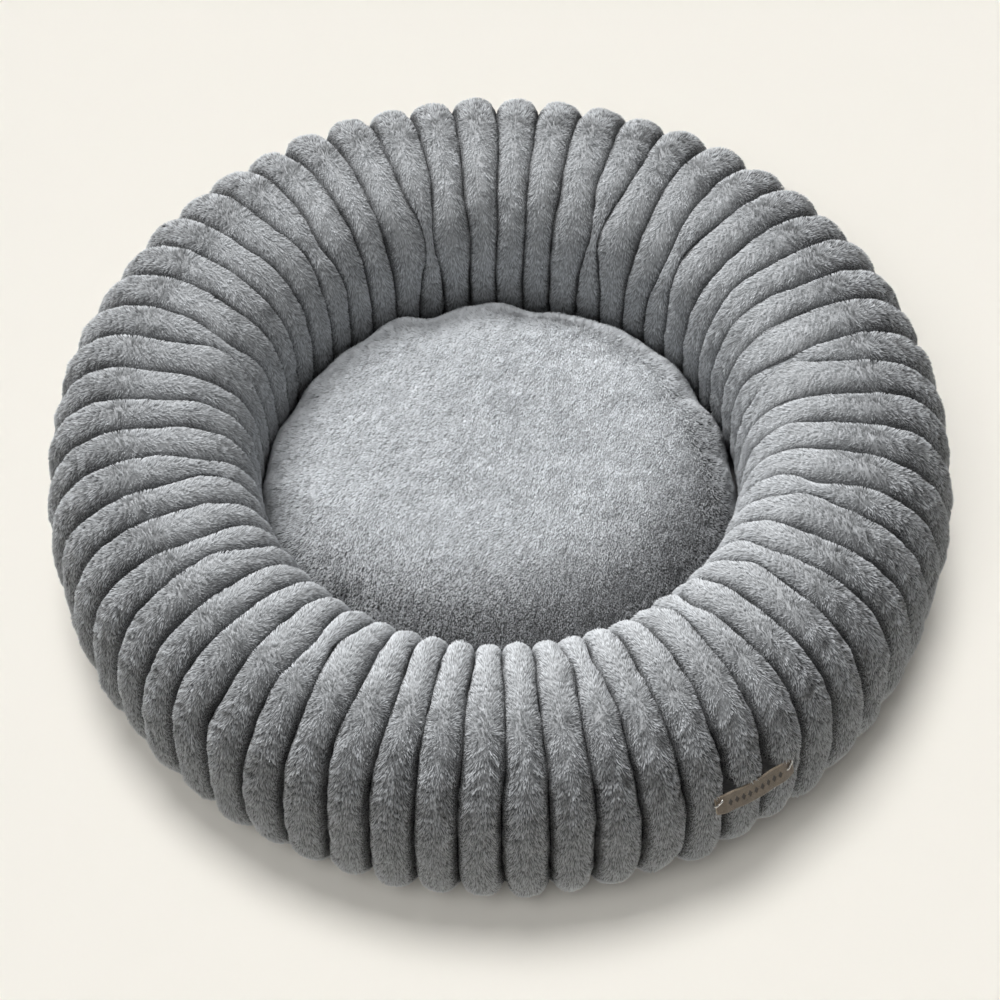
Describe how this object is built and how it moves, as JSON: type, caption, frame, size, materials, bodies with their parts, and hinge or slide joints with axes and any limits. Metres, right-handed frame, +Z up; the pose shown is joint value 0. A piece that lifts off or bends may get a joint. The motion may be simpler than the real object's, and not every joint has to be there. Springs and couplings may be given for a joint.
{
  "type": "pet cushion bed",
  "caption": "Round pet bed: a ring bolster of ribbed grey plush on a flat base, with a loose round plush cushion in its well.",
  "frame": {"origin": "centre of the underside, on the surface the bed stands on", "axes": "+Z up; -Y is the front, and the label is at the front right"},
  "size_m": [0.6, 0.6, 0.166],
  "materials": {
    "plush": "short pile, soft sheen",
    "lining_cloth": "plain weave",
    "fibre_fill": "loose fibre",
    "base_fabric": "basket weave",
    "felt": "needled felt",
    "tape_fabric": "ribbed tape",
    "nylon": "satin",
    "zip_metal": "worn nickel",
    "label_leather": "fine grain, matt",
    "staple_metal": "bright"
  },
  "bodies": {
    "bed": {"bolster_cover": "plush", "bolster_lining": "lining_cloth", "bolster_fill": "fibre_fill", "base_cloth": "base_fabric", "base_wadding": "felt", "base_top_cloth": "lining_cloth", "base_binding": "tape_fabric", "label_strip": "label_leather", "label_staple_left": "staple_metal", "label_staple_right": "staple_metal"},
    "cushion": {"cushion_top": "plush", "cushion_side_band": "base_fabric", "cushion_bottom": "base_fabric", "cushion_fill": "fibre_fill", "zip_tape_lower": "tape_fabric", "zip_tape_upper": "tape_fabric", "zip_coil_lower": "nylon", "zip_coil_upper": "nylon", "zip_stop_closed": "zip_metal", "zip_stop_open": "zip_metal"},
    "zip_slider": {"zip_slider": "zip_metal"},
    "zip_pull": {"zip_pull": "zip_metal"}
  },
  "joints": [
    {"name": "cushion_lift", "type": "slide", "parent": "bed", "child": "cushion", "axis": [0, 0, 1], "range_m": [0, 0.2]},
    {"name": "zip_run", "type": "hinge", "parent": "cushion", "child": "zip_slider", "pos_m": [0, 0, 0.02], "axis": [0, 0, 1], "range_deg": [0, 67]},
    {"name": "pull_swing", "type": "hinge", "parent": "zip_slider", "child": "zip_pull", "pos_m": [0.08384, 0.12667, 0.02], "axis": [0, 0, 1], "range_deg": [0, 175]}
  ]
}
